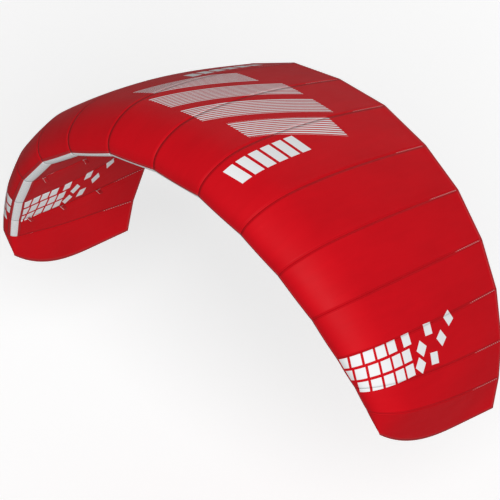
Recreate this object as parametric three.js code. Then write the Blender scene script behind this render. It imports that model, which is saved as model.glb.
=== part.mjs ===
// A ram-air power kite: an arched canopy of sewn cells, held open by ribs and fed through gauze
// air intakes along its nose. Millimetres, +X to the right-hand tip, -Y towards the nose, +Z up.
// The origin is the lower end of the middle tow tab on the centre rib.
import * as THREE from "three";
import { mergeVertices } from "three/addons/utils/BufferGeometryUtils.js";

// Plan of the canopy. A list over cells or ribs runs from the centre out to one tip.
const centreChord = 1039;
const cellWidth = [257, 250, 228, 221, 204, 199, 147, 125];
const cellRoll = [5, 21, 33, 46, 58, 68, 80, 90]; // degrees down from level, in flight
const noseSweep = [0, 0, 9, 32, 70, 112, 152, 182, 229]; // how far each rib's nose lies back
const tailSweep = [0, 1, 4, 13, 32, 58, 102, 143, 175]; // how far each rib's tail lies forward
const noseInset = [0, 0, 0, 0, 0, 20, 80, 120, 128]; // how far each rib's nose leans to the centre
const tipEdgeStraight = 0.32; // share of the tip edge, from the tail, before it curves in
const tipEdgePower = 2.6;

// Section of the wing, as shares of the chord.
const foilThickness = 0.175;
const noseFullness = 0.38; // lower is blunter
const tailTaper = 1.1; // higher is finer
const foilCamber = 0.042;
const camberPeak = 0.2;
const lipAt = 0.002; // where the top skin ends, just under the nose
const intakeBackAt = 0.035; // where the bottom skin starts

// Cloth, with the thickness of its seams and hems.
const skin = 1.5;
const gauze = 1;
const ribCloth = 1.5;
const gap = 0.4; // between pieces that are sewn together

// Ribs.
const crossports = [
  { at: 0.16, radius: 42 },
  { at: 0.29, radius: 48 },
  { at: 0.43, radius: 46 },
  { at: 0.57, radius: 36 },
  { at: 0.7, radius: 24 },
];
const leastRibMargin = 16; // cloth left between a crossport and the skins
const crossportSides = 12;
const towTabs = [0.1, 0.34, 0.62]; // where the line tabs stand, as shares of the chord
const middleTab = 1;
const tabWidth = 16;
const tabLength = 24;
const ribsWithTabs = 2; // every second rib carries lines

// Facets.
const topSteps = 16;
const bottomSteps = 11;
const gauzeSteps = 3;
const tipSteps = 3; // across each tip cell, which closes to a flat edge

const red = { color: 0xc4101c, roughness: 0.55, metalness: 0 };
const white = { color: 0xf2f2f0, roughness: 0.7, metalness: 0 };

const cells = cellWidth.length;
const forward = new THREE.Vector3(0, -1, 0);
const tail = 0;
const nose = Math.PI;
const underTail = 2 * Math.PI;
const lip = 2 * Math.PI - Math.acos(2 * lipAt - 1);
const intakeBack = 2 * Math.PI - Math.acos(2 * intakeBackAt - 1);

// Each station is a rib's seam, or the tip's edge: where its tail is, and which ways are up and out.
const stations = [];
{
  const point = new THREE.Vector3();
  for (let k = 0; k <= cells; k++) {
    if (k > 0) {
      const roll = THREE.MathUtils.degToRad(cellRoll[k - 1]);
      point.x += cellWidth[k - 1] * Math.cos(roll);
      point.z -= cellWidth[k - 1] * Math.sin(roll);
    }
    const inner = k > 0 ? cellRoll[k - 1] : -cellRoll[0];
    const outer = k < cells ? cellRoll[k] : inner;
    const lean = THREE.MathUtils.degToRad((inner + outer) / 2);
    stations.push({
      tailPoint: new THREE.Vector3(point.x, -tailSweep[k], point.z),
      chord: centreChord - noseSweep[k] - tailSweep[k],
      inset: noseInset[k],
      up: new THREE.Vector3(Math.sin(lean), 0, Math.cos(lean)),
      out: new THREE.Vector3(Math.cos(lean), 0, -Math.sin(lean)),
      isTip: k === cells,
    });
  }
}

const thicknessShape = (share) => share ** noseFullness * (1 - share) ** tailTaper;
const thickestAt = noseFullness / (noseFullness + tailTaper);

function halfThickness(share) {
  return (foilThickness / 2) * (thicknessShape(share) / thicknessShape(thickestAt));
}

function camberLine(share) {
  const p = camberPeak;
  if (share < p) return (foilCamber / p ** 2) * (2 * p * share - share ** 2);
  return (foilCamber / (1 - p) ** 2) * (1 - 2 * p + 2 * p * share - share ** 2);
}

// The section of a wing of chord 1: angle runs from the tail over the top to the nose, and back
// underneath.
function unitSection(angle) {
  const share = (1 + Math.cos(angle)) / 2;
  const side = angle <= nose ? 1 : -1;
  return new THREE.Vector2(1 - share, camberLine(share) + side * halfThickness(share));
}

// Which way the cloth faces. The tip's flat edge keeps the directions of a full section.
function facing(angle) {
  const step = 0.002;
  const middle = THREE.MathUtils.clamp(angle, tail + step, underTail - step);
  const along = unitSection(middle + step).sub(unitSection(middle - step));
  return new THREE.Vector2(-along.y, along.x).normalize();
}

// A point of a station's section. The cloth lies outside this line, by outward.
function sectionPoint(station, angle, outward) {
  const point = unitSection(angle).multiplyScalar(station.chord);
  if (station.isTip) point.y = 0;
  point.addScaledVector(facing(angle), outward);
  return { ahead: point.x, height: point.y };
}

// How far the angle has to turn to move by the sewing gap along the section.
function gapAngle(station, angle) {
  const step = 0.001;
  const a = sectionPoint(station, angle, 0);
  const b = sectionPoint(station, angle + step, 0);
  return (gap * step) / Math.hypot(b.ahead - a.ahead, b.height - a.height);
}

// The place of a section point, moved sideways away from the centre.
function placeOf(station, { ahead, height }, sideways) {
  const share = ahead / station.chord;
  let along = share;
  if (station.isTip) {
    const curved = Math.max(0, (share - tipEdgeStraight) / (1 - tipEdgeStraight));
    along = curved ** tipEdgePower;
  }
  return station.tailPoint
    .clone()
    .addScaledVector(forward, ahead)
    .addScaledVector(station.up, height)
    .addScaledVector(station.out, sideways - station.inset * along);
}

// Bends a flat grid into a sheet of cloth: an outer and an inner layer with the same facets, and a rim.
// bend gives the place of a point from its shares along the section, through the cloth (0 inside)
// and across the cell.
function sheetGeometry(steps, acrossSteps, bend) {
  const grid = new THREE.PlaneGeometry(1, 1, steps, acrossSteps);
  const flat = grid.getAttribute("position");
  const layer = flat.count;
  const places = [];
  for (const through of [1, 0]) {
    for (let i = 0; i < layer; i++) {
      places.push(bend(flat.getX(i) + 0.5, through, flat.getY(i) + 0.5));
    }
  }
  const outer = [...grid.index.array];
  const inner = outer.map((i) => i + layer).reverse();
  const rim = gridEdge(steps, acrossSteps).flatMap((p, i, edge) => {
    const q = edge[(i + 1) % edge.length];
    return [p, q, q + layer, p, q + layer, p + layer];
  });
  const geometry = new THREE.BufferGeometry().setFromPoints(places);
  return closedFacingOut(geometry.setIndex([...outer, ...inner, ...rim]));
}

// The numbers of a flat grid's points, once round its edge.
function gridEdge(columns, rows) {
  const at = (column, row) => row * (columns + 1) + column;
  const edge = [];
  for (let i = 0; i < columns; i++) edge.push(at(i, 0));
  for (let j = 0; j < rows; j++) edge.push(at(columns, j));
  for (let i = columns; i > 0; i--) edge.push(at(i, rows));
  for (let j = rows; j > 0; j--) edge.push(at(0, j));
  return edge;
}

function closedFacingOut(geometry) {
  geometry.deleteAttribute("normal");
  geometry.deleteAttribute("uv");
  const merged = mergeVertices(geometry, 1e-3);
  const points = merged.getAttribute("position");
  const corners = [0, 1, 2].map(() => new THREE.Vector3());
  const index = merged.index.array;
  let volume = 0;
  for (let i = 0; i < index.length; i += 3) {
    corners.forEach((corner, j) => corner.fromBufferAttribute(points, index[i + j]));
    volume += corners[0].dot(corners[1].cross(corners[2]));
  }
  if (volume < 0) index.reverse();
  merged.computeVertexNormals();
  return merged;
}

function mirrored(point, side) {
  point.x *= side;
  return point;
}

// A sheet of one cell between two angles of the section. endGaps are the distances that its inner
// and outer ends keep from the planes of the two ribs' seams.
function cellSheet(cell, side, from, to, thickness, steps, endGaps) {
  const ends = [stations[cell - 1], stations[cell]];
  const sideways = [endGaps[0], -endGaps[1]];
  const acrossSteps = cell === cells ? tipSteps : 1;
  return sheetGeometry(steps, acrossSteps, (u, through, across) => {
    const [inner, outer] = ends.map((station, i) => {
      const angle = THREE.MathUtils.lerp(from(station), to(station), u);
      const point = sectionPoint(station, angle, gap / 2 + through * thickness);
      return placeOf(station, point, sideways[i]);
    });
    return mirrored(inner.lerp(outer, across), side);
  });
}

// The skins end on either side of a rib, which stands on the centre's side of its seam.
function skinGaps(cell) {
  const inner = cell === 1 ? ribCloth / 2 + gap : gap / 2;
  const outer = cell === cells ? 0 : ribCloth + 1.5 * gap;
  return [inner, outer];
}

function topPanel(cell, side) {
  const from = () => tail;
  const to = () => lip;
  return cellSheet(cell, side, from, to, skin, topSteps, skinGaps(cell));
}

function bottomPanel(cell, side) {
  const closedNose = cell === cells;
  const from = (station) => (closedNose ? lip + gapAngle(station, lip) : intakeBack);
  const to = () => underTail;
  return cellSheet(cell, side, from, to, skin, bottomSteps, skinGaps(cell));
}

const gauzeStart = (station) => lip + gapAngle(station, lip);
const gauzeEnd = (station) => intakeBack - gapAngle(station, intakeBack);

function intakeGauze(cell, side) {
  const ends = [gap / 2, gap / 2];
  return cellSheet(cell, side, gauzeStart, gauzeEnd, gauze, gauzeSteps, ends);
}

// The two centre cells share one strip of gauze, which passes in front of the centre rib.
function centreGauze() {
  return sheetGeometry(gauzeSteps, 2, (u, through, across) => {
    const side = Math.sign(across - 0.5);
    const station = stations[Math.abs(side)];
    const angle = THREE.MathUtils.lerp(gauzeStart(station), gauzeEnd(station), u);
    const point = sectionPoint(station, angle, gap / 2 + through * gauze);
    return mirrored(placeOf(station, point, side === 0 ? 0 : -gap / 2), side || 1);
  });
}

function underside(station, share) {
  return sectionPoint(station, underTail - Math.acos(2 * share - 1), gap / 2 + skin);
}

// The rib's outline: its edge is sewn between the skins, and it is set back behind the gauze.
function ribShape(k) {
  const station = stations[k];
  const outline = [];
  const add = (angle, outward) => {
    const point = sectionPoint(station, angle, outward);
    outline.push(new THREE.Vector2(point.ahead, point.height));
  };
  for (let i = 0; i <= topSteps; i++) add((lip * i) / topSteps, gap / 2 + skin);
  for (let i = 0; i <= gauzeSteps; i++) {
    add(THREE.MathUtils.lerp(lip, intakeBack, i / gauzeSteps), -gap);
  }
  const below = [];
  for (let i = 0; i <= bottomSteps; i++) {
    const angle = THREE.MathUtils.lerp(intakeBack, underTail, i / bottomSteps);
    const point = sectionPoint(station, angle, gap / 2 + skin);
    below.push(new THREE.Vector2(point.ahead, point.height));
  }
  if (k % ribsWithTabs === 0) {
    for (const at of towTabs) addTab(below, station, at);
  }
  outline.push(...below);
  const shape = new THREE.Shape(outline);
  for (const { at, radius } of crossports) addCrossport(shape, station, at, radius);
  return shape;
}

// Puts the four corners of a tab into the underside's points, which run from the nose to the tail.
function addTab(below, station, at) {
  const foot = underside(station, at);
  const ahead = station.chord * (1 - at);
  const corners = [
    new THREE.Vector2(ahead + tabWidth / 2, foot.height),
    new THREE.Vector2(ahead + tabWidth / 2, foot.height - tabLength),
    new THREE.Vector2(ahead - tabWidth / 2, foot.height - tabLength),
    new THREE.Vector2(ahead - tabWidth / 2, foot.height),
  ];
  const first = below.findIndex((p) => p.x < ahead + tabWidth / 2);
  const next = below.findIndex((p) => p.x < ahead - tabWidth / 2);
  below.splice(first, next - first, ...corners);
}

function addCrossport(shape, station, at, radius) {
  const roof = sectionPoint(station, Math.acos(2 * at - 1), 0).height;
  const floor = underside(station, at).height;
  const clearRadius = Math.min(radius, (roof - floor) / 2 - leastRibMargin);
  const hole = new THREE.Path();
  const middle = [station.chord * (1 - at), (roof + floor) / 2];
  hole.absellipse(...middle, clearRadius, clearRadius, 0, 2 * Math.PI, false);
  shape.holes.push(hole);
}

// The rib's own axes: x forward along its chord, y up, and z across it.
function ribAxes(k, side) {
  const station = stations[k];
  const x = forward.clone().multiplyScalar(station.chord);
  x.addScaledVector(station.out, -station.inset).normalize();
  const y = station.up.clone();
  mirrored(x, side);
  mirrored(y, side);
  return { x, y, z: x.clone().cross(y) };
}

function ribMesh(k, side) {
  const geometry = closedFacingOut(
    new THREE.ExtrudeGeometry(ribShape(k), {
      depth: ribCloth,
      bevelEnabled: false,
      curveSegments: crossportSides,
    }),
  );
  const station = stations[k];
  const along = Math.hypot(station.chord, station.inset) / station.chord;
  geometry.scale(along, 1, 1);
  const { x, y, z } = ribAxes(k, side);
  const centred = k === 0 ? -ribCloth / 2 : side > 0 ? gap / 2 : -gap / 2 - ribCloth;
  const mesh = new THREE.Mesh(geometry, new THREE.MeshStandardMaterial(white));
  mesh.position.copy(mirrored(station.tailPoint.clone(), side)).addScaledVector(z, centred);
  mesh.quaternion.setFromRotationMatrix(new THREE.Matrix4().makeBasis(x, y, z));
  return mesh;
}

function clothMesh(geometry, finish) {
  return new THREE.Mesh(geometry, new THREE.MeshStandardMaterial(finish));
}

// Where a cell turns against its inner neighbour: along the rib's seam, level with its highest point,
// so that the cells open from below and never press into each other as the arch is laid flat.
function hinge(k, side) {
  const station = stations[k];
  let top = sectionPoint(station, nose / 2, gap / 2 + skin);
  for (let angle = tail; angle < nose; angle += 0.01) {
    const point = sectionPoint(station, angle, gap / 2 + skin);
    if (point.height > top.height) top = point;
  }
  const { x } = ribAxes(k, side);
  return {
    point: mirrored(placeOf(station, top, 0), side),
    axis: x.multiplyScalar(side),
    range: cellRoll[k] - cellRoll[k - 1],
  };
}

// One body: the panels, gauze and outer rib of a cell, and for the centre those of both middle cells.
function addMesh(body, name, mesh) {
  mesh.name = name;
  body.add(mesh);
}

function addCell(body, cell, side, word) {
  addMesh(body, `top_panel_${word}_${cell}`, clothMesh(topPanel(cell, side), red));
  addMesh(body, `bottom_panel_${word}_${cell}`, clothMesh(bottomPanel(cell, side), red));
  if (cell < cells) addMesh(body, `rib_${word}_${cell}`, ribMesh(cell, side));
}

const canopy = new THREE.Group();
const centre = new THREE.Group();
canopy.add(centre);
addMesh(centre, "rib_centre", ribMesh(0, 1));
addMesh(centre, "intake_gauze_centre", clothMesh(centreGauze(), white));

const hinges = {};
for (const [word, side] of [["right", 1], ["left", -1]]) {
  addCell(centre, 1, side, word);
  for (let cell = 2; cell <= cells; cell++) {
    const body = new THREE.Group();
    canopy.add(body);
    addCell(body, cell, side, word);
    if (cell < cells) {
      const strip = clothMesh(intakeGauze(cell, side), white);
      addMesh(body, `intake_gauze_${word}_${cell}`, strip);
    }
    hinges[`${word}_${cell}`] = hinge(cell - 1, side);
  }
}

// The origin goes to the lower end of the centre rib's middle tab.
const towPoint = underside(stations[0], towTabs[middleTab]);
canopy.position.set(0, centreChord * (1 - towTabs[middleTab]), tabLength - towPoint.height);
canopy.userData = { hinges, cells };

const group = new THREE.Group();
group.add(canopy);

export default group;
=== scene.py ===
"""A ram-air power kite: an arched canopy of cells, with ribs, gauze intakes and tow loops."""

import math

import bmesh
import bpy
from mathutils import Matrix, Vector, noise


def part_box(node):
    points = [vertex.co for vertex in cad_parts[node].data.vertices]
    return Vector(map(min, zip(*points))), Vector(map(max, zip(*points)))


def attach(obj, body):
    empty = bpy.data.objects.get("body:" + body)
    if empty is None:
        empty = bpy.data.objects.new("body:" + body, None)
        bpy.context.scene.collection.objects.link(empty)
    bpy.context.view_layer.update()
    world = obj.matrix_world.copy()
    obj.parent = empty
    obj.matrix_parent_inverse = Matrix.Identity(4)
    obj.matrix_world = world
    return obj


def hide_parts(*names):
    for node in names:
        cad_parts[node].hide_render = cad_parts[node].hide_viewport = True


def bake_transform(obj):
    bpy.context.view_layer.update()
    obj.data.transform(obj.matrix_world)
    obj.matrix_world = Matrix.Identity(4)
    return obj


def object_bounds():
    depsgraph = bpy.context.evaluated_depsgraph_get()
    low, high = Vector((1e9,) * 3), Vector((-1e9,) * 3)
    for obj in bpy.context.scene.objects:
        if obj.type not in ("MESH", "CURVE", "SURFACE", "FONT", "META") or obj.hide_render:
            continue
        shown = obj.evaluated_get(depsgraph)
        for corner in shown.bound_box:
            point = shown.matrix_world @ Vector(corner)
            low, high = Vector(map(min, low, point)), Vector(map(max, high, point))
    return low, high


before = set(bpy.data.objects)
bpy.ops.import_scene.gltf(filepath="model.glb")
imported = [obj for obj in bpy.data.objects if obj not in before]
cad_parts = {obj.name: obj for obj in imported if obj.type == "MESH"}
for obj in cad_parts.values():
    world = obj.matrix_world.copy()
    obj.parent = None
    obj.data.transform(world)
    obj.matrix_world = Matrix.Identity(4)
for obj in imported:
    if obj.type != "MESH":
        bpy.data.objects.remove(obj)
cad_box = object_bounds()

bl_info = {
    "name": "Ram-Air Power Kite",
    "version": (1, 0, 0),
    "blender": (4, 5, 0),
    "location": "3D View > Sidebar > Kite",
    "description": "Sews the cloth of a ram-air power kite onto its frame of cells",
    "category": "Object",
}

CELLS = 8
FORWARD = Vector((0, -1, 0))
SIDES = (("right", 1), ("left", -1))
# Places along the chord from the nose, as shares of it, and the crossports' radii.
TOW_TABS = (0.1, 0.34, 0.62)
CROSSPORTS = ((0.16, 0.042), (0.29, 0.048), (0.43, 0.046), (0.57, 0.036), (0.7, 0.024))
RIB_MARGIN = 0.016  # cloth left between a crossport and the skins
RIB_INSET = 0.00095  # from a seam to the middle of its rib's cloth, towards the centre

SECTION_MARKS = 720  # steps round the section by which its cloth is measured
FACING_STEP = 0.002  # in angle
SMALL_TURN = 0.001
SEAM_DEPTH = 0.0017  # from a rib's line out to the face of the seam
FLAT_TAIL = 0.16  # share of the chord in which the puff rises from nothing
PUCKER_COUNT = 26  # how closely the puckers follow each other
PUCKER_START = 0.012  # from the seam to where a pucker is whole
PUCKER_REACH = 0.05  # how far it runs into the cell


# --- What a maker can change ---


class CanopySettings(bpy.types.PropertyGroup):
    """The plan and section of the wing. A list runs from the centre out to one tip."""

    centre_chord: bpy.props.FloatProperty(
        name="Centre chord",
        description="Nose to tail of the centre rib",
        default=1.039,
        unit="LENGTH",
    )
    cell_widths: bpy.props.FloatVectorProperty(
        name="Cell widths",
        description="Width of each cell along the tail",
        size=8,
        default=(0.257, 0.250, 0.228, 0.221, 0.204, 0.199, 0.147, 0.125),
        unit="LENGTH",
    )
    cell_rolls: bpy.props.FloatVectorProperty(
        name="Cell rolls",
        description="How far each cell hangs down from level in flight",
        size=8,
        default=tuple(math.radians(d) for d in (5, 21, 33, 46, 58, 68, 80, 90)),
        unit="ROTATION",
    )
    nose_sweeps: bpy.props.FloatVectorProperty(
        name="Nose sweeps",
        description="How far each rib's nose lies back",
        size=9,
        default=(0, 0, 0.009, 0.032, 0.070, 0.112, 0.152, 0.182, 0.229),
        unit="LENGTH",
    )
    tail_sweeps: bpy.props.FloatVectorProperty(
        name="Tail sweeps",
        description="How far each rib's tail lies forward",
        size=9,
        default=(0, 0.001, 0.004, 0.013, 0.032, 0.058, 0.102, 0.143, 0.175),
        unit="LENGTH",
    )
    nose_insets: bpy.props.FloatVectorProperty(
        name="Nose insets",
        description="How far each rib's nose leans to the centre",
        size=9,
        default=(0, 0, 0, 0, 0, 0.020, 0.080, 0.120, 0.128),
        unit="LENGTH",
    )
    tip_edge_straight: bpy.props.FloatProperty(
        name="Straight tip edge",
        description="Share of the tip edge, from the tail, before it curves in",
        default=0.32,
        subtype="FACTOR",
    )
    tip_edge_power: bpy.props.FloatProperty(
        name="Tip edge curve", description="Higher curves in later", default=2.6
    )
    foil_thickness: bpy.props.FloatProperty(
        name="Thickness", description="As a share of the chord", default=0.175, subtype="FACTOR"
    )
    nose_fullness: bpy.props.FloatProperty(
        name="Nose fullness", description="Lower is blunter", default=0.38, subtype="FACTOR"
    )
    tail_taper: bpy.props.FloatProperty(
        name="Tail taper", description="Higher is finer", default=1.1
    )
    camber: bpy.props.FloatProperty(
        name="Camber", description="As a share of the chord", default=0.042, subtype="FACTOR"
    )
    camber_peak: bpy.props.FloatProperty(
        name="Camber peak",
        description="As a share of the chord, from the nose",
        default=0.2,
        subtype="FACTOR",
    )
    lip_at: bpy.props.FloatProperty(
        name="Lip",
        description="Where the top skin ends under the nose",
        default=0.002,
        subtype="FACTOR",
    )
    intake_back_at: bpy.props.FloatProperty(
        name="Intake back",
        description="Where the bottom skin starts",
        default=0.035,
        subtype="FACTOR",
    )
    tab_length: bpy.props.FloatProperty(
        name="Tow tab length", description="Seam to end of a tow tab", default=0.024, unit="LENGTH"
    )
    tab_width: bpy.props.FloatProperty(
        name="Tow tab width",
        description="Width of a tow tab's webbing",
        default=0.016,
        unit="LENGTH",
    )


class ClothSettings(bpy.types.PropertyGroup):
    """The cloth, its colours and the way that it fills with air."""

    red: bpy.props.FloatVectorProperty(
        name="Red",
        description="Dye of the skins",
        size=3,
        default=(0.60, 0.004, 0.010),
        subtype="COLOR",
    )
    white: bpy.props.FloatVectorProperty(
        name="White",
        description="Print, ribs and gauze",
        size=3,
        default=(0.84, 0.85, 0.86),
        subtype="COLOR",
    )
    thickness: bpy.props.FloatProperty(
        name="Cloth", description="Thickness of one layer", default=0.0006, unit="LENGTH"
    )
    proud: bpy.props.FloatProperty(
        name="Skin height",
        description="From a rib's line to the skin's face",
        default=0.0019,
        unit="LENGTH",
    )
    puff: bpy.props.FloatProperty(
        name="Puff",
        description="Rise of a filled cell, as a share of its width",
        default=0.012,
        subtype="FACTOR",
    )
    pucker: bpy.props.FloatProperty(
        name="Pucker",
        description="Height of the puckers beside a seam",
        default=0.0008,
        unit="LENGTH",
    )


class StudioSettings(bpy.types.PropertyGroup):
    """The floor, the light and the camera."""

    azimuth: bpy.props.FloatProperty(
        name="Azimuth",
        description="Camera's turn from the front",
        default=math.radians(45.4),
        unit="ROTATION",
    )
    elevation: bpy.props.FloatProperty(
        name="Elevation",
        description="Camera above the horizon",
        default=math.radians(28.5),
        unit="ROTATION",
    )
    distance: bpy.props.FloatProperty(
        name="Distance", description="Camera to the kite", default=60.0, unit="LENGTH"
    )
    aim: bpy.props.FloatVectorProperty(
        name="Aim",
        description="Point at the middle of the view",
        size=3,
        default=(-0.01925, 0.20203, -0.52826),
    )
    floor_drop: bpy.props.FloatProperty(
        name="Floor drop", description="Floor below the kite's tips", default=1.2, unit="LENGTH"
    )


# --- The shape of the wing ---


class Station:
    """One rib's seam, or the tip's edge."""

    def __init__(self, number, tail, chord, inset, lean, span):
        self.tail = tail
        self.chord = chord
        self.inset = inset
        self.up = Vector((math.sin(lean), 0, math.cos(lean)))
        self.out = Vector((math.cos(lean), 0, -math.sin(lean)))
        self.span = span
        self.is_tip = number == CELLS


class Wing:
    """Places points on the filled canopy. An angle runs round the section: 0 at the tail, over the
    top to pi at the nose, and back underneath to 2 pi."""

    def __init__(self, canopy, cloth):
        self.canopy = canopy
        self.cloth = cloth
        self.lip = 2 * math.pi - math.acos(2 * canopy.lip_at - 1)
        self.intake_back = 2 * math.pi - math.acos(2 * canopy.intake_back_at - 1)
        self.thickest = self.thickness_shape(
            canopy.nose_fullness / (canopy.nose_fullness + canopy.tail_taper)
        )
        self.stations = self.lay_out()
        self.lengths = self.measure_section()
        tow = self.underside(self.stations[0], TOW_TABS[1])
        self.origin = Vector(
            (0, canopy.centre_chord * (1 - TOW_TABS[1]), canopy.tab_length - tow)
        )

    def lay_out(self):
        canopy = self.canopy
        stations, x, z, span = [], 0, 0, 0
        rolls = [-canopy.cell_rolls[0], *canopy.cell_rolls, canopy.cell_rolls[CELLS - 1]]
        for k in range(CELLS + 1):
            if k:
                width, roll = canopy.cell_widths[k - 1], canopy.cell_rolls[k - 1]
                x += width * math.cos(roll)
                z -= width * math.sin(roll)
                span += width
            tail = Vector((x, -canopy.tail_sweeps[k], z))
            chord = canopy.centre_chord - canopy.nose_sweeps[k] - canopy.tail_sweeps[k]
            lean = (rolls[k] + rolls[k + 1]) / 2
            stations.append(Station(k, tail, chord, canopy.nose_insets[k], lean, span))
        return stations

    def thickness_shape(self, share):
        return share**self.canopy.nose_fullness * (1 - share) ** self.canopy.tail_taper

    def unit_section(self, angle):
        canopy = self.canopy
        share = min(1, max(0, (1 + math.cos(angle)) / 2))
        peak = canopy.camber_peak
        if share < peak:
            camber = canopy.camber / peak**2 * (2 * peak * share - share**2)
        else:
            camber = canopy.camber / (1 - peak) ** 2 * (1 - 2 * peak + 2 * peak * share - share**2)
        half = canopy.foil_thickness / 2 * self.thickness_shape(share) / self.thickest
        return Vector((1 - share, camber + (half if angle <= math.pi else -half)))

    def facing(self, angle):
        middle = min(2 * math.pi - FACING_STEP, max(FACING_STEP, angle))
        along = self.unit_section(middle + FACING_STEP) - self.unit_section(middle - FACING_STEP)
        return Vector((-along.y, along.x)).normalized()

    def measure_section(self):
        """Lengths of cloth from the tail to each step of the unit section's angle."""
        turns = (i / SECTION_MARKS * 2 * math.pi for i in range(SECTION_MARKS + 1))
        points = [self.unit_section(turn) for turn in turns]
        lengths = [0.0]
        for a, b in zip(points, points[1:]):
            lengths.append(lengths[-1] + (b - a).length)
        return lengths

    def cloth_length(self, angle, underneath):
        """Cloth from the tail to an angle, for a chord of 1, over the top or underneath."""
        place = min(1, max(0, angle / (2 * math.pi))) * SECTION_MARKS
        low = min(int(place), SECTION_MARKS - 1)
        first, second = self.lengths[low : low + 2]
        length = first + (second - first) * (place - low)
        return self.lengths[-1] - length if underneath else length

    def section_point(self, station, angle, outward):
        point = self.unit_section(angle) * station.chord
        if station.is_tip:
            point.y = 0
        return point + self.facing(angle) * outward

    def underside(self, station, share):
        """Height of the bottom seam below the chord's line."""
        angle = 2 * math.pi - math.acos(2 * share - 1)
        return self.section_point(station, angle, SEAM_DEPTH).y

    def lean_in(self, station, share):
        """Distance by which a station lies nearer to the centre than its tail, ahead by a share."""
        if not station.is_tip:
            return station.inset * share
        straight = self.canopy.tip_edge_straight
        curved = max(0, (share - straight) / (1 - straight))
        return station.inset * curved**self.canopy.tip_edge_power

    def place(self, station, ahead, height, sideways=0.0):
        """A point of the right half, before it is mirrored."""
        inset = self.lean_in(station, ahead / station.chord)
        return (
            self.origin
            + station.tail
            + FORWARD * ahead
            + station.up * height
            + station.out * (sideways - inset)
        )

    def angle_before_tail(self, station, distance):
        return math.acos(1 - 2 * distance / station.chord)

    def angle_step(self, station, angle, distance):
        """The angle that lies a small distance further round the section."""
        a = self.section_point(station, angle, 0)
        b = self.section_point(station, angle + SMALL_TURN, 0)
        return angle + distance * SMALL_TURN / (b - a).length

    def skin(self, cell, angle_of, across, outward, puffed=1.0, underneath=False):
        """A point of a cell's cloth, with its facing, its place on the unrolled cloth and its
        distances from the seams and the tail."""
        ends = (self.stations[cell - 1], self.stations[cell])
        points, facings, flats = [], [], []
        for station in ends:
            angle = angle_of(station)
            ahead, height = self.section_point(station, angle, outward)
            forward, up = self.facing(angle)
            points.append(self.place(station, ahead, height))
            facings.append(station.up * up + FORWARD * forward)
            span = station.span - self.lean_in(station, ahead / station.chord)
            length = self.cloth_length(angle, underneath) * station.chord
            flats.append(Vector((span, station.tail.y - length)))
        width = (points[1] - points[0]).length
        share = self.unit_section(angle_of(ends[0])).x
        fade = min(1, share / FLAT_TAIL)
        fade = fade * fade * (3 - 2 * fade)
        facing = facings[0].lerp(facings[1], across).normalized()
        rise = self.cloth.puff * width * 4 * across * (1 - across) * fade * puffed
        point = points[0].lerp(points[1], across) + facing * rise
        seam = width * min(across, 1 - across)
        if puffed:
            turn = angle_of(ends[0])
            ripple = noise.noise(Vector((point.y * PUCKER_COUNT, turn * 2 + cell, across * 3)))
            held = min(1, seam / PUCKER_START) * math.exp(-seam / PUCKER_REACH)
            point += facing * self.cloth.pucker * ripple * held * fade
        return point, facing, flats[0].lerp(flats[1], across), seam, share * ends[0].chord

    def rib_axes(self, k, side):
        """The rib's place at its tail, and its directions: ahead, up and away from the centre."""
        station = self.stations[k]
        ahead = FORWARD * station.chord - station.out * station.inset
        ahead.normalize()
        away = station.up.cross(ahead).normalized()
        if away.dot(station.out) < 0:
            away.negate()
        tail = self.origin + station.tail
        return tuple(Vector((v.x * side, v.y, v.z)) for v in (tail, ahead, station.up, away))

    def sew_across(self, piece, cell, side):
        """Attaches a centre cell's piece to the centre body; a piece of any other cell only has its
        place baked into its mesh.
        """
        if cell == 1:
            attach(piece, "centre")
            return
        tail, _, _, away = self.rib_axes(cell - 1, side)
        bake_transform(piece)


def wing():
    scene = bpy.context.scene
    return Wing(scene.kite_canopy, scene.kite_cloth)


# --- Mesh helpers ---


def bent_grid(steps, across_steps, bend):
    """A flat grid bent into a sheet. bend takes the shares along and across, and gives the point,
    its facing, its place on the unrolled cloth, and its distances from the seam and the tail."""
    bm = bmesh.new()
    bmesh.ops.create_grid(bm, x_segments=steps, y_segments=across_steps, size=0.5)
    seam_layer = bm.verts.layers.float.new("seam_distance")
    tail_layer = bm.verts.layers.float.new("tail_distance")
    uv_layer = bm.loops.layers.uv.new("cloth")
    flats, facings = {}, {}
    for vert in bm.verts:
        point, facing, flat, seam, tail = bend(vert.co.x + 0.5, vert.co.y + 0.5)
        vert.co = point
        vert[seam_layer], vert[tail_layer] = seam, tail
        flats[vert], facings[vert] = flat, facing
    bm.normal_update()
    agree = sum(face.normal.dot(facings[face.verts[0]]) * face.calc_area() for face in bm.faces)
    for face in bm.faces:
        for loop in face.loops:
            loop[uv_layer].uv = flats[loop.vert]
    if agree < 0:
        bmesh.ops.reverse_faces(bm, faces=bm.faces)
    return bm


def on_side(found, side):
    """What a bend found for the right half, moved to a side."""
    point, facing, flat, seam, tail = found
    flip = Vector((side, 1, 1))
    return point * flip, facing * flip, Vector((flat.x * side, flat.y)), seam, tail


def mirrored(bend, side):
    """The same bend on the right half or the left."""
    return lambda along, across: on_side(bend(along, across), side)


def finished(bm, name, material, thickness=0.0):
    """Makes the bmesh a smooth-shaded piece at the origin, with a wall if it is a single layer."""
    bm.normal_update()
    mesh = bpy.data.meshes.new(name)
    bm.to_mesh(mesh)
    bm.free()
    mesh.shade_smooth()
    mesh.materials.append(material)
    piece = bpy.data.objects.new(name, mesh)
    bpy.context.scene.collection.objects.link(piece)
    if thickness:
        wall = piece.modifiers.new("Cloth", "SOLIDIFY")
        wall.thickness = thickness
        wall.offset = -1
        wall.use_rim = True
    return piece


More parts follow.
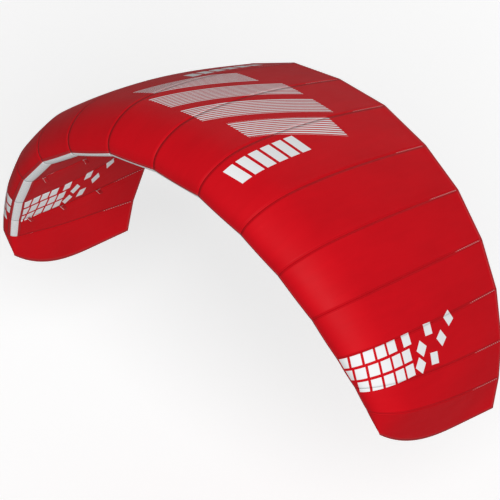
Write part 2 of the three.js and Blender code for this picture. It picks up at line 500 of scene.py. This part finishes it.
def cut_size(bm, steps, across_steps):
    """The cut of a bent grid's cloth: its greatest width and length, and its area."""
    bm.verts.ensure_lookup_table()
    columns, rows = steps + 1, across_steps + 1
    if len(bm.verts) != columns * rows:
        raise RuntimeError("a sheet's grid isn't the size that was asked for")
    at = [[bm.verts[row * columns + column].co for column in range(columns)] for row in range(rows)]
    length = max(sum((b - a).length for a, b in zip(row, row[1:])) for row in at)
    across = zip(*at)
    width = max(sum((b - a).length for a, b in zip(line, line[1:])) for line in across)
    return width, length, sum(face.calc_area() for face in bm.faces)


def steady(angle):
    return lambda station: angle


# --- Shader maths ---


class Value:
    """A number that varies over a surface."""

    def __init__(self, shader, socket):
        self.shader = shader
        self.socket = socket

    def maths(self, operation, *others):
        return self.shader.maths(operation, self, *others)

    def __add__(self, other):
        return self.maths("ADD", other)

    def __sub__(self, other):
        return self.maths("SUBTRACT", other)

    def __rsub__(self, other):
        return self.shader.maths("SUBTRACT", other, self)

    def __mul__(self, other):
        return self.maths("MULTIPLY", other)

    def __truediv__(self, other):
        return self.maths("DIVIDE", other)

    def __abs__(self):
        return self.maths("ABSOLUTE")

    def __lt__(self, other):
        return self.maths("LESS_THAN", other)

    def __gt__(self, other):
        return self.maths("GREATER_THAN", other)

    def __mod__(self, other):
        return self.maths("FLOORED_MODULO", other)

    def __or__(self, other):
        return self.maths("MAXIMUM", other)

    __radd__ = __add__
    __rmul__ = __mul__


class Shader:
    """A material's nodes around one Principled shader."""

    def __init__(self, name):
        self.material = bpy.data.materials.new(name)
        self.material.use_nodes = True
        self.tree = self.material.node_tree
        self.surface = self.tree.nodes["Principled BSDF"]

    def node(self, kind, settings=None, inputs=None, output=0):
        """Adds a node, its settings, and its sockets' values or links, and gives an output."""
        made = self.tree.nodes.new(kind)
        for key, value in (settings or {}).items():
            setattr(made, key, value)
        for key, value in (inputs or {}).items():
            self.feed(made.inputs[key], value)
        return Value(self, made.outputs[output])

    def feed(self, socket, value):
        if isinstance(value, Value):
            self.tree.links.new(value.socket, socket)
        else:
            socket.default_value = value

    def maths(self, operation, *values):
        return self.node("ShaderNodeMath", {"operation": operation}, dict(enumerate(values)))

    def attribute(self, name):
        return self.node("ShaderNodeAttribute", {"attribute_name": name}, output="Fac")

    def mix(self, share, first, second):
        settings = {"data_type": "RGBA"}
        return self.node("ShaderNodeMix", settings, {0: share, 6: first, 7: second}, output=2)

    def noise(self, vector, scale, detail):
        inputs = {"Vector": vector, "Scale": scale, "Detail": detail}
        return self.node("ShaderNodeTexNoise", inputs=inputs, output="Fac")

    def stretched(self, vector, scale):
        inputs = {"Vector": vector, "Scale": scale}
        return self.node("ShaderNodeMapping", inputs=inputs, output="Vector")

    def cloth_place(self):
        """The unrolled cloth's vector, and its distances across and along."""
        flat = self.node("ShaderNodeUVMap", {"uv_map": "cloth"})
        parts = self.node("ShaderNodeSeparateXYZ", inputs={"Vector": flat})
        return flat, parts, Value(self, parts.socket.node.outputs[1])

    def bump(self, height, strength, distance):
        inputs = {"Strength": strength, "Distance": distance, "Height": height}
        return self.node("ShaderNodeBump", inputs=inputs)

    def finish(self, **sockets):
        for name, value in sockets.items():
            self.feed(self.surface.inputs[name.replace("_", " ")], value)
        return self.material


def rgba(colour, share=1.0):
    return (*(c * share for c in colour), 1.0)


def line(value, pitch, width):
    """1 on lines of a width, a pitch apart."""
    return value % pitch < width


# --- The prints ---

# Rows of squares at each tip: distance from the middle of the wing, cloth from the tail's line to
# the first even square, number of even squares, and the place and turn of those that break away.
TIP_ROWS = (
    (1.164, 0.759, 5, ((0.680, 0), (0.549, 4), (0.413, -25))),
    (1.218, 0.697, 6, ((0.611, 45), (0.485, -32))),
    (1.272, 0.697, 5, ((0.637, 45), (0.552, 8))),
)
SQUARE_PITCH = 0.0535
SQUARE_HALF = 0.0215
UNDERSIDE_STRETCH = 1.058  # the same rows on the shorter cloth of the underside
# Slanted bars in the middle: distance to the right, and half of the length.
BARS = ((-0.24, 0.21), (-0.08, 0.27), (0.08, 0.27), (0.24, 0.21))
BAR_MIDDLE = 0.56
BAR_HALF_WIDTH = 0.058
BAR_SLANT = -0.35
BAR_LINE_PITCH = 0.0135
BAR_LINE_WIDTH = 0.0072
# Rows of plain blocks: side of the wing, distance from the middle, first place, count and half
# of the height.
BLOCK_ROWS = ((1, 0.335, 0.59, 6, 0.043), (-1, 0.350, 0.11, 6, 0.038))
BLOCK_PITCH = 0.066
BLOCK_LENGTH = 0.050
BLOCK_SLANT = 0.25


def tip_squares(across, ahead):
    """1 in the squares."""
    found = 0.0
    for middle, first, count, loose in TIP_ROWS:
        u = across - middle
        length = count * SQUARE_PITCH
        start = first - SQUARE_HALF
        inside = (ahead > start) * (ahead < start + length)
        row = inside * (abs(u) < SQUARE_HALF) * ((ahead - start) % SQUARE_PITCH < 2 * SQUARE_HALF)
        found = row | found
        for place, turn in loose:
            v = ahead - place
            c, s = math.cos(math.radians(turn)), math.sin(math.radians(turn))
            square = (abs(u * c + v * s) < SQUARE_HALF) * (abs(v * c - u * s) < SQUARE_HALF)
            found = square | found
    return found


def slanted_bars(span, ahead):
    """1 on the fine lines of the bars in the middle of the wing."""
    behind = ahead - BAR_MIDDLE
    slanted = span - behind * BAR_SLANT
    found = None
    for middle, half_length in BARS:
        bar = (abs(slanted - middle) < BAR_HALF_WIDTH) * (abs(behind) < half_length)
        found = bar if found is None else found | bar
    return found * line(slanted, BAR_LINE_PITCH, BAR_LINE_WIDTH)


def plain_blocks(span, ahead):
    """1 in the rows of plain blocks."""
    found = 0.0
    for side, middle, first, count, half_height in BLOCK_ROWS:
        across = span * side - middle
        along = ahead - first + across * BLOCK_SLANT
        inside = (abs(across) < half_height) * (along > 0) * (along < count * BLOCK_PITCH)
        found = inside * line(along, BLOCK_PITCH, BLOCK_LENGTH) | found
    return found


# --- Materials ---

RIPSTOP_PITCH = 0.005
RIPSTOP_THREAD = 0.0009
SEAM_FOLD = 0.0024
STITCH_AWAY = 0.007  # from the seam
STITCH_THREAD = 0.0007
DOTS_AWAY = 0.0019
DOTS_FROM, DOTS_TO = 0.016, 0.19  # from the tail
GAUZE_PITCH = 0.0022
GAUZE_THREAD = 0.0013


def ripstop_grid(across, along):
    """1 on the thick threads of ripstop cloth."""
    return line(across, RIPSTOP_PITCH, RIPSTOP_THREAD) | line(along, RIPSTOP_PITCH, RIPSTOP_THREAD)


def ripstop(shader, flat, span, ahead):
    """The share of the grid that ripstop cloth shows, and its height."""
    grid = ripstop_grid(span, ahead)
    weave = shader.noise(flat, 900, 1)
    return grid, grid * 0.8 + weave * 0.35


def skin_material(name, printed_top):
    cloth = bpy.context.scene.kite_cloth
    shader = Shader(name)
    flat, span, behind = shader.cloth_place()
    ahead = 0.0 - behind
    seam = shader.attribute("seam_distance")
    tail = shader.attribute("tail_distance")
    grid, height = ripstop(shader, flat, span, ahead)
    patches = shader.noise(shader.stretched(flat, (2.2, 1.1, 1)), 3.0, 3)
    creases = shader.noise(shader.stretched(flat, (46, 7, 1)), 1.0, 3)
    # Random patches of tone, plus painted shade: the crease noise darkens the red in the valleys of
    # the creases.
    patch_tone_and_crease_shade = (patches - 0.5) * 0.22 + (creases - 0.5) * 0.10 + 1.0
    colour = shader.node(
        "ShaderNodeVectorMath",
        {"operation": "SCALE"},
        {0: cloth.red[:], "Scale": patch_tone_and_crease_shade - grid * 0.05},
    )
    fold = (1 - seam / SEAM_FOLD).maths("MAXIMUM", 0)
    stitches = (abs(seam - STITCH_AWAY) < STITCH_THREAD) * line(ahead, 0.0035, 0.0026)
    # Painted shade: the red is darkened in the groove along each seam.
    colour = shader.mix(fold * 0.06, colour, rgba(cloth.red, 0.6))
    colour = shader.mix(stitches * 0.6, colour, rgba(cloth.red, 0.45))
    near_tail = (tail < DOTS_TO) * (tail > DOTS_FROM)
    dots = (seam < DOTS_AWAY) * near_tail * line(ahead, 0.0145, 0.006)
    squares_ahead = ahead if printed_top else ahead * UNDERSIDE_STRETCH
    prints = tip_squares(abs(span), squares_ahead)
    if printed_top:
        prints = prints | slanted_bars(span, ahead) | plain_blocks(span, ahead)
    white = shader.mix(grid * 0.08, rgba(cloth.white), rgba(cloth.white, 0.7))
    colour = shader.mix(dots * 0.55, colour, rgba(cloth.white))
    colour = shader.mix(prints, colour, white)
    wear = shader.noise(flat, 14, 4)
    rough = 0.46 + wear * 0.12 + fold * 0.12 - prints * 0.06
    relief = height * 0.00010 + creases * 0.0006 - fold * 0.0003 - stitches * 0.0003
    relief = relief + prints * 0.00006
    shader.surface.inputs["Sheen Weight"].default_value = 0.01
    shader.surface.inputs["Sheen Roughness"].default_value = 0.4
    shader.surface.inputs["Specular IOR Level"].default_value = 0.07
    return shader.finish(Base_Color=colour, Roughness=rough, Normal=shader.bump(relief, 0.8, 1.0))


def tape_material(name):
    """Woven tape for hems and bindings, with a line of stitches."""
    cloth = bpy.context.scene.kite_cloth
    shader = Shader(name)
    flat, span, behind = shader.cloth_place()
    across = shader.attribute("seam_distance")
    ribbing = line(span + behind, 0.0016, 0.0008)
    stitches = (abs(across - 0.5) < 0.09) * line(span + behind, 0.0045, 0.0032)
    colour = shader.mix(ribbing * 0.25, rgba(cloth.red, 0.86), rgba(cloth.red, 0.62))
    colour = shader.mix(stitches * 0.5, colour, rgba(cloth.red, 0.4))
    soil = shader.noise(flat, 22, 3)
    colour = shader.mix(soil * 0.15, colour, rgba(cloth.red, 0.5))
    relief = ribbing * 0.00012 - stitches * 0.0003
    rough = 0.6 + soil * 0.15
    return shader.finish(Base_Color=colour, Roughness=rough, Normal=shader.bump(relief, 0.8, 1.0))


def gauze_material(name):
    cloth = bpy.context.scene.kite_cloth
    shader = Shader(name)
    flat, span, behind = shader.cloth_place()
    seam = shader.attribute("seam_distance")
    tail = shader.attribute("tail_distance")
    threads = line(span, GAUZE_PITCH, GAUZE_THREAD) | line(tail, GAUZE_PITCH, GAUZE_THREAD)
    soil = shader.noise(flat, 18, 3)
    # Painted shade: the holes between the threads are darker grey, standing in for the shaded
    # inside of the cell seen through the netting.
    colour = shader.mix(threads, rgba(cloth.white, 0.66), rgba(cloth.white))
    colour = shader.mix((seam < 0.006) * 0.4, colour, rgba(cloth.white, 0.8))
    colour = shader.mix(soil * 0.12, colour, rgba(cloth.white, 0.6))
    relief = threads * 0.0003
    rough = 0.72 + soil * 0.1
    return shader.finish(Base_Color=colour, Roughness=rough, Normal=shader.bump(relief, 0.7, 1.0))


def rib_material(name):
    """White ripstop, read on the rib's own place in the wing."""
    cloth = bpy.context.scene.kite_cloth
    shader = Shader(name)
    place = shader.node("ShaderNodeTexCoord", output="Object")
    parts = shader.node("ShaderNodeSeparateXYZ", inputs={"Vector": place})
    ahead, up = (Value(shader, parts.socket.node.outputs[i]) for i in (1, 2))
    grid = ripstop_grid(ahead, up)
    soil = shader.noise(place, 11, 4)
    creases = shader.noise(shader.stretched(place, (8, 3, 22)), 1.0, 3)
    colour = shader.mix(grid * 0.1, rgba(cloth.white, 0.95), rgba(cloth.white, 0.7))
    colour = shader.mix(soil * 0.16, colour, rgba(cloth.white, 0.62))
    relief = grid * 0.00008 + creases * 0.0008
    rough = 0.55 + soil * 0.15
    return shader.finish(Base_Color=colour, Roughness=rough, Normal=shader.bump(relief, 0.8, 1.0))


def webbing_material(name):
    """Red webbing with white bar tacks, read along the loop."""
    cloth = bpy.context.scene.kite_cloth
    shader = Shader(name)
    flat, across, along = shader.cloth_place()
    ribs = line(across, 0.0016, 0.0009)
    picks = line(along + ribs * 0.0007, 0.0014, 0.0007)
    tacks = (abs(along - 0.003) < 0.0012) * line(across, 0.0011, 0.0008)
    soil = shader.noise(flat, 160, 3)
    colour = shader.mix(ribs * 0.3, rgba(cloth.red, 0.8), rgba(cloth.red, 0.55))
    colour = shader.mix(tacks * 0.6, colour, rgba(cloth.white, 0.6))
    colour = shader.mix(soil * 0.25, colour, rgba(cloth.red, 0.42))
    relief = ribs * 0.00022 + picks * 0.0001 + tacks * 0.0003
    rough = 0.62 + soil * 0.2
    return shader.finish(Base_Color=colour, Roughness=rough, Normal=shader.bump(relief, 0.9, 1.0))


def floor_material(name):
    shader = Shader(name)
    place = shader.node("ShaderNodeTexCoord", output="Object")
    mottle = shader.noise(place, 0.7, 2)
    colour = shader.mix(mottle * 0.2, (0.93, 0.93, 0.93, 1), (0.90, 0.90, 0.90, 1))
    shader.surface.inputs["Emission Color"].default_value = (1, 1, 1, 1)
    shader.surface.inputs["Emission Strength"].default_value = 0.36
    return shader.finish(Base_Color=colour, Roughness=0.9 + mottle * 0.05)


def material(name, build, *settings):
    """The material of that name, made once."""
    return bpy.data.materials.get(name) or build(name, *settings)


# --- Pieces ---


def cells(first=1, last=CELLS):
    """Each cell on both sides: the side's word, the side and the cell's number."""
    for word, side in SIDES:
        for cell in range(first, last + 1):
            yield word, side, cell


SKIN_STEPS = 96
SKIN_ACROSS = 18


def add_skin(sail, name, node, cell, side, ends, finish):
    """One skin between two angles of the section."""
    start, end = ends
    underneath = start > 0

    def bend(along, across):
        angle = start + (end - start) * along
        return sail.skin(cell, steady(angle), across, sail.cloth.proud, 1.0, underneath)

    bm = bent_grid(SKIN_STEPS, SKIN_ACROSS, mirrored(bend, side))
    width, length, area = cut_size(bm, SKIN_STEPS, SKIN_ACROSS)
    piece = finished(bm, name, finish, sail.cloth.thickness)
    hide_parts(node)
    sail.sew_across(piece, cell, side)


class KITE_OT_top_skins(bpy.types.Operator):
    """Sews the sixteen printed top skins, from the tail over the nose to the lip of the intakes"""

    bl_idname = "kite.top_skins"
    bl_label = "Top Skins"

    def execute(self, context):
        sail = wing()
        finish = material("printed_top_ripstop", skin_material, True)
        for word, side, cell in cells():
            ends = (0.0, sail.lip)
            name, node = f"top_skin_{word}_{cell}", f"top_panel_{word}_{cell}"
            add_skin(sail, name, node, cell, side, ends, finish)
        return {"FINISHED"}


class KITE_OT_bottom_skins(bpy.types.Operator):
    """Sews the sixteen bottom skins, from the back of the intakes to the tail"""

    bl_idname = "kite.bottom_skins"
    bl_label = "Bottom Skins"

    def execute(self, context):
        sail = wing()
        finish = material("printed_bottom_ripstop", skin_material, False)
        for word, side, cell in cells():
            start = sail.lip if cell == CELLS else sail.intake_back
            ends = (start, 2 * math.pi)
            name, node = f"bottom_skin_{word}_{cell}", f"bottom_panel_{word}_{cell}"
            add_skin(sail, name, node, cell, side, ends, finish)
        return {"FINISHED"}


GAUZE_STEPS = 12
GAUZE_ACROSS = 24
GAUZE_LAP = 0.02  # under the skins at both edges, in angle
GAUZE_SET_IN = 0.0005
GAUZE_PUFF = 0.4
GAUZE_THINNESS = 0.7


class KITE_OT_intake_gauze(bpy.types.Operator):
    """Fits the gauze strips of the air intakes. The two centre cells share one strip"""

    bl_idname = "kite.intake_gauze"
    bl_label = "Intake Gauze"

    def execute(self, context):
        sail = wing()
        self.add(sail, "intake_gauze_strip_centre", "intake_gauze_centre", 1, 0)
        for word, side, cell in cells(2, CELLS - 1):
            name = f"intake_gauze_strip_{word}_{cell}"
            self.add(sail, name, f"intake_gauze_{word}_{cell}", cell, side)
        return {"FINISHED"}

    def add(self, sail, name, node, cell, side):
        start, end = sail.lip - GAUZE_LAP, sail.intake_back + GAUZE_LAP

        def bend(along, across):
            angle = start + (end - start) * along
            half = side or (1 if across >= 0.5 else -1)
            place = across if side else abs(across - 0.5) * 2
            outward = sail.cloth.proud - GAUZE_SET_IN
            return on_side(sail.skin(cell, steady(angle), place, outward, GAUZE_PUFF), half)

        across_steps = GAUZE_ACROSS if side else 2 * GAUZE_ACROSS
        bm = bent_grid(GAUZE_STEPS, across_steps, bend)
        width, length, area = cut_size(bm, GAUZE_STEPS, across_steps)
        finish = material("intake_netting", gauze_material)
        piece = finished(bm, name, finish, sail.cloth.thickness * GAUZE_THINNESS)
        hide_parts(node)
        sail.sew_across(piece, cell, side)


HEM_PROFILE = ((0.0055, 0.0012), (0.0020, 0.0013), (-0.0009, 0.0011), (-0.0013, 0.0))
HEM_SIDES = 32
HEM_TAPE = 0.0004
WEBBING = 0.0007
WEBBING_STEPS = (22, 6)
WEBBING_CLEAR = 0.0004  # from the tab's end to the webbing
WEBBING_OUT = 0.0019  # from the tab's middle to the webbing's face
WEBBING_WIDER = 0.0006  # past each edge of the tab
WEBBING_FOLD = 0.14  # share of the webbing that turns round the tab's end
WEBBING_CROWN = 0.0014


def rib_names():
    """Each rib: its number, the side that it is on, its word and the body that carries it."""
    yield 0, 1, "centre", "centre"
    for word, side in SIDES:
        for k in range(1, CELLS):
            body = "centre" if k == 1 else f"{word}_cell_{k}"
            yield k, side, f"{word}_{k}", body


class KITE_OT_ribs(bpy.types.Operator):
    """Cuts the fifteen ribs from the frame's own shapes"""

    bl_idname = "kite.ribs"
    bl_label = "Ribs"

    def execute(self, context):
        finish = material("rib_ripstop", rib_material)
        for _, _, word, body in rib_names():
            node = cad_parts[f"rib_{word}"]
            bm = bmesh.new()
            bm.from_mesh(node.data)
            bmesh.ops.remove_doubles(bm, verts=bm.verts, dist=1e-6)
            area = sum(face.calc_area() for face in bm.faces) / 2
            low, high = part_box(f"rib_{word}")
            size = high - low
            length = size.y
            height = math.hypot(size.x, size.z)
            piece = finished(bm, f"rib_cloth_{word}", finish)
            piece.data.shade_flat()
            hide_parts(f"rib_{word}")
            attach(piece, body)
            max(height, area / length)
        return {"FINISHED"}


class KITE_OT_crossport_hems(bpy.types.Operator):
    """Binds the edges of the ribs' crossports with rings of tape"""

    bl_idname = "kite.crossport_hems"
    bl_label = "Crossport Hems"

    def execute(self, context):
        sail = wing()
        finish = material("rib_ripstop", rib_material)
        for k, side, word, body in rib_names():
            bm = bmesh.new()
            for at, radius in CROSSPORTS:
                self.add_ring(bm, sail, k, side, at, radius)
            piece = finished(bm, f"crossport_hems_{word}", finish, HEM_TAPE)
            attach(piece, body)
        return {"FINISHED"}

    def add_ring(self, bm, sail, k, side, at, radius):
        station = sail.stations[k]
        tail, ahead, up, away = sail.rib_axes(k, side)
        roof = sail.section_point(station, math.acos(2 * at - 1), 0).y
        floor = sail.underside(station, at)
        radius = min(radius, (roof - floor) / 2 - RIB_MARGIN)
        stretch = math.hypot(station.chord, station.inset) / station.chord
        depth = RIB_INSET if k else 0
        middle = tail + ahead * station.chord * (1 - at) * stretch + up * (roof + floor) / 2
        middle -= away * depth
        profile = HEM_PROFILE + tuple((out, -height) for out, height in HEM_PROFILE[-2::-1])
        last = len(profile) - 1
        ring = bmesh.ops.create_grid(bm, x_segments=HEM_SIDES, y_segments=last, size=0.5)
        for vert in ring["verts"]:
            turn = (vert.co.x + 0.5) * 2 * math.pi
            out, height = profile[round((vert.co.y + 0.5) * last)]
            reach = radius + out
            along = ahead * math.cos(turn) * reach * stretch
            vert.co = middle + along + up * math.sin(turn) * reach + away * height
        bmesh.ops.remove_doubles(bm, verts=ring["verts"], dist=1e-6)
        bmesh.ops.recalc_face_normals(bm, faces=bm.faces)


class KITE_OT_tow_loops(bpy.types.Operator):
    """Folds webbing round every tow tab of every second rib"""

    bl_idname = "kite.tow_loops"
    bl_label = "Tow Loops"

    def execute(self, context):
        sail = wing()
        finish = material("tow_webbing", webbing_material)
        for k, side, word, body in rib_names():
            if k % 2:
                continue
            bm = bmesh.new()
            uv_layer = bm.loops.layers.uv.new("cloth")
            for at in TOW_TABS:
                self.add_loop(bm, uv_layer, sail, k, side, at)
            piece = finished(bm, f"tow_loops_{word}", finish, WEBBING)
            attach(piece, body)
        return {"FINISHED"}

    def add_loop(self, bm, uv_layer, sail, k, side, at):
        station = sail.stations[k]
        tail, ahead, up, away = sail.rib_axes(k, side)
        stretch = math.hypot(station.chord, station.inset) / station.chord
        foot = tail + ahead * station.chord * (1 - at) * stretch
        foot += up * sail.underside(station, at) - away * (RIB_INSET if k else 0)
        length = sail.canopy.tab_length
        half_width = sail.canopy.tab_width / 2 + WEBBING_WIDER
        steps, across_steps = WEBBING_STEPS
        loop = bmesh.ops.create_grid(bm, x_segments=steps, y_segments=across_steps, size=0.5)
        flats = {}
        for vert in loop["verts"]:
            share = (vert.co.x + 0.5) * 2 - 1
            across = vert.co.y * 2
            flats[vert] = Vector((vert.co.y * half_width * 2, length * (1 - abs(share))))
            drop, out = self.profile(share, length)
            vert.co = foot + ahead * across * half_width - up * drop + away * out
        faces = {face for vert in loop["verts"] for face in vert.link_faces}
        for face in faces:
            for corner in face.loops:
                corner[uv_layer].uv = flats[corner.vert]
        middle = foot - up * length / 2
        bm.normal_update()
        wrong = [f for f in faces if f.normal.dot(f.calc_center_median() - middle) < 0]
        if len(wrong) > len(faces) / 2:
            bmesh.ops.reverse_faces(bm, faces=list(faces))

    def profile(self, share, length):
        """How far down and out the webbing lies, from one end round the tab to the other."""
        fold = WEBBING_FOLD
        if abs(share) > fold:
            reach = (abs(share) - fold) / (1 - fold)
            return length * (1 - reach) + WEBBING_CLEAR, math.copysign(WEBBING_OUT, share)
        turn = share / fold * math.pi / 2
        crown = WEBBING_CROWN * math.cos(turn)
        return length + WEBBING_CLEAR + crown, WEBBING_OUT * math.sin(turn)


TAPE = 0.0003
TAPE_LIFT = 0.00035  # from the skin's face to a tape's
TAIL_LAPS = (0.013, 0.009, 0.004, 0.0)  # the tail's tape on each skin, before the edge
TIP_LAPS = (0.010, 0.005, 0.0)
TAIL_TURN = 0.0014  # past the tail, where the tape turns in
TAIL_PAST = 0.0022  # past the tail, at the tape's edge
TAIL_PINCH = 0.75
TIP_STEPS = 60
TIP_STEP = 0.01  # in angle, between the points that give the tip edge's direction
TIP_PAST = 0.0024
TIP_TUCK = 0.0008
# The tape of an intake: past its edge, and out from the skin's face.
INTAKE_LAPS = (
    (-0.009, 0.0004),
    (-0.005, 0.0004),
    (0.0004, 0.0004),
    (0.0012, -0.0001),
    (0.0012, -0.0009),
)


def add_wrap(sail, name, cell, side, profile):
    """A tape over the edge of a cell's skins. Each step of its profile is a rule for the angle at
    a station, a distance out and a distance past the edge."""

    def bend(along, across):
        position = along * (len(profile) - 1)
        angle_of, outward, past = profile[round(position)]
        point, facing, flat, _, tail = sail.skin(cell, angle_of, across, outward)
        point -= FORWARD * past
        facing = (facing - FORWARD * past * 500).normalized()
        return point, facing, Vector((flat.x, 0)), abs(along - 0.5) * 2, tail

    bm = bent_grid(len(profile) - 1, SKIN_ACROSS, mirrored(bend, side))
    piece = finished(bm, name, material("hem_tape", tape_material), TAPE)
    sail.sew_across(piece, cell, side)


class KITE_OT_tail_hems(bpy.types.Operator):
    """Wraps the tail of every cell, where the top and bottom skins meet, in a tape"""

    bl_idname = "kite.tail_hems"
    bl_label = "Tail Hems"

    def execute(self, context):
        sail = wing()

        def over(distance):
            return lambda station: sail.angle_before_tail(station, distance)

        def under(distance):
            return lambda station: 2 * math.pi - sail.angle_before_tail(station, distance)

        high = sail.cloth.proud + TAPE_LIFT
        top = [(over(lap), high, 0.0) for lap in TAIL_LAPS]
        bottom = [(under(lap), high, 0.0) for lap in reversed(TAIL_LAPS)]
        edge = [
            (over(0.0), high * TAIL_PINCH, TAIL_TURN),
            (over(0.0), 0.0, TAIL_PAST),
            (under(0.0), high * TAIL_PINCH, TAIL_TURN),
        ]
        profile = [*top, *edge, *bottom]
        for word, side, cell in cells():
            add_wrap(sail, f"tail_hem_{word}_{cell}", cell, side, profile)
        return {"FINISHED"}


class KITE_OT_intake_bindings(bpy.types.Operator):
    """Binds the lip above every air intake and the front edge of the bottom skin behind it"""

    bl_idname = "kite.intake_bindings"
    bl_label = "Intake Bindings"

    def execute(self, context):
        sail = wing()

        def near(angle, distance):
            return lambda station: sail.angle_step(station, angle, distance)

        edges = (("lip", sail.lip, 1), ("sill", sail.intake_back, -1))
        for word, side, cell in cells(1, CELLS - 1):
            for edge, angle, turn in edges:
                profile = [
                    (near(angle, past * turn), sail.cloth.proud + out, 0.0)
                    for past, out in INTAKE_LAPS
                ]
                add_wrap(sail, f"intake_{edge}_{word}_{cell}", cell, side, profile)
        return {"FINISHED"}


class KITE_OT_tip_bindings(bpy.types.Operator):
    """Binds the curved edge of each tip, where its two skins meet"""

    bl_idname = "kite.tip_bindings"
    bl_label = "Tip Bindings"

    def execute(self, context):
        sail = wing()
        for word, side in SIDES:
            self.add(sail, word, side)
        return {"FINISHED"}

    def add(self, sail, word, side):
        high = sail.cloth.proud + TAPE_LIFT
        width = sail.canopy.cell_widths[CELLS - 1]
        middle = len(TIP_LAPS)

        def edge(angle):
            return sail.skin(CELLS, steady(angle), 1.0, 0.0)[0]

        def bend(along, across):
            angle = math.pi * along
            place = round(across * 2 * middle)
            before = edge(max(0.0, angle - TIP_STEP))
            after = edge(min(math.pi, angle + TIP_STEP))
            station = sail.stations[CELLS]
            outside = (after - before).cross(station.up).normalized()
            if outside.dot(station.out) < 0:
                outside.negate()
            if place == middle:
                point = edge(angle) + outside * TIP_PAST
                facing = outside
            else:
                turned = angle if place < middle else 2 * math.pi - angle
                lap = TIP_LAPS[min(place, 2 * middle - place)]
                point, facing = sail.skin(CELLS, steady(turned), 1 - lap / width, high)[:2]
                if lap == 0.0:
                    point = point + outside * TIP_TUCK
            return point, facing, Vector((point.y, 0)), abs(across - 0.5) * 2, 1.0

        bm = bent_grid(TIP_STEPS, 2 * middle, mirrored(bend, side))
        finish = material("hem_tape", tape_material)
        piece = finished(bm, f"tip_binding_{word}", finish, TAPE)
        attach(piece, f"{word}_cell_{CELLS}")


# --- Stage ---

# Suns: name, direction, strength and spread in degrees.
SUNS = (("Key", (0.72, -0.60, 0.42), 2.75, 26), ("Back", (-0.5, 0.75, 0.5), 0.3, 50))
SKY_STRENGTH = 0.27
FLOOR_HALF = 300
LENS = 1080
VIEW_END = 400


class KITE_OT_studio(bpy.types.Operator):
    """Sets up the pale floor, the soft light and the camera"""

    bl_idname = "kite.studio"
    bl_label = "Studio"

    def execute(self, context):
        studio = context.scene.kite_studio
        self.add_floor(cad_box[0].z - studio.floor_drop)
        for sun in SUNS:
            self.add_sun(*sun)
        self.set_world(context.scene)
        self.add_camera(context.scene, studio)
        context.scene.view_settings.view_transform = "Standard"
        return {"FINISHED"}

    def add_floor(self, height):
        bm = bmesh.new()
        bmesh.ops.create_grid(bm, x_segments=4, y_segments=4, size=FLOOR_HALF)
        bmesh.ops.translate(bm, vec=(0, 0, height), verts=bm.verts)
        mesh = bpy.data.meshes.new("floor")
        bm.to_mesh(mesh)
        bm.free()
        mesh.materials.append(material("pale_floor", floor_material))
        floor = bpy.data.objects.new("floor", mesh)
        bpy.context.scene.collection.objects.link(floor)
        floor.visible_diffuse = False
        floor.visible_glossy = False

    def add_sun(self, name, direction, strength, spread):
        light = bpy.data.lights.new(name, "SUN")
        light.energy = strength
        light.angle = math.radians(spread)
        holder = bpy.data.objects.new(name, light)
        holder.rotation_euler = Vector(direction).to_track_quat("Z", "Y").to_euler()
        bpy.context.scene.collection.objects.link(holder)

    def set_world(self, scene):
        scene.world = bpy.data.worlds.new("Studio")
        scene.world.use_nodes = True
        background = scene.world.node_tree.nodes["Background"]
        background.inputs["Color"].default_value = (1.0, 1.0, 1.0, 1)
        background.inputs["Strength"].default_value = SKY_STRENGTH

    def add_camera(self, scene, studio):
        a, e = studio.azimuth, studio.elevation
        back = Vector((math.sin(a) * math.cos(e), -math.cos(a) * math.cos(e), math.sin(e)))
        camera = bpy.data.cameras.new("Camera")
        camera.lens = LENS
        camera.clip_end = VIEW_END
        holder = bpy.data.objects.new("Camera", camera)
        holder.location = Vector(studio.aim) + back * studio.distance
        holder.rotation_euler = back.to_track_quat("Z", "Y").to_euler()
        scene.collection.objects.link(holder)
        scene.camera = holder


STEPS = (
    KITE_OT_studio,
    KITE_OT_top_skins,
    KITE_OT_bottom_skins,
    KITE_OT_intake_gauze,
    KITE_OT_ribs,
    KITE_OT_crossport_hems,
    KITE_OT_tow_loops,
    KITE_OT_tail_hems,
    KITE_OT_intake_bindings,
    KITE_OT_tip_bindings,
)


class KITE_PT_panel(bpy.types.Panel):
    """Lists the settings and the steps that make the kite"""

    bl_idname = "KITE_PT_panel"
    bl_label = "Ram-Air Kite"
    bl_space_type = "VIEW_3D"
    bl_region_type = "UI"
    bl_category = "Kite"

    def draw(self, context):
        layout = self.layout
        for step in STEPS:
            layout.operator(step.bl_idname)
        scene = context.scene
        for group in (scene.kite_canopy, scene.kite_cloth, scene.kite_studio):
            box = layout.box()
            for name in group.__annotations__:
                box.prop(group, name)


CLASSES = (CanopySettings, ClothSettings, StudioSettings, *STEPS, KITE_PT_panel)


def register():
    for item in CLASSES:
        bpy.utils.register_class(item)
    bpy.types.Scene.kite_canopy = bpy.props.PointerProperty(type=CanopySettings)
    bpy.types.Scene.kite_cloth = bpy.props.PointerProperty(type=ClothSettings)
    bpy.types.Scene.kite_studio = bpy.props.PointerProperty(type=StudioSettings)


def unregister():
    del bpy.types.Scene.kite_studio
    del bpy.types.Scene.kite_cloth
    del bpy.types.Scene.kite_canopy
    for item in reversed(CLASSES):
        bpy.utils.unregister_class(item)


def main():
    register()
    for step in STEPS:
        group, name = step.bl_idname.split(".")
        getattr(getattr(bpy.ops, group), name)()


if __name__ == "__main__":
    main()
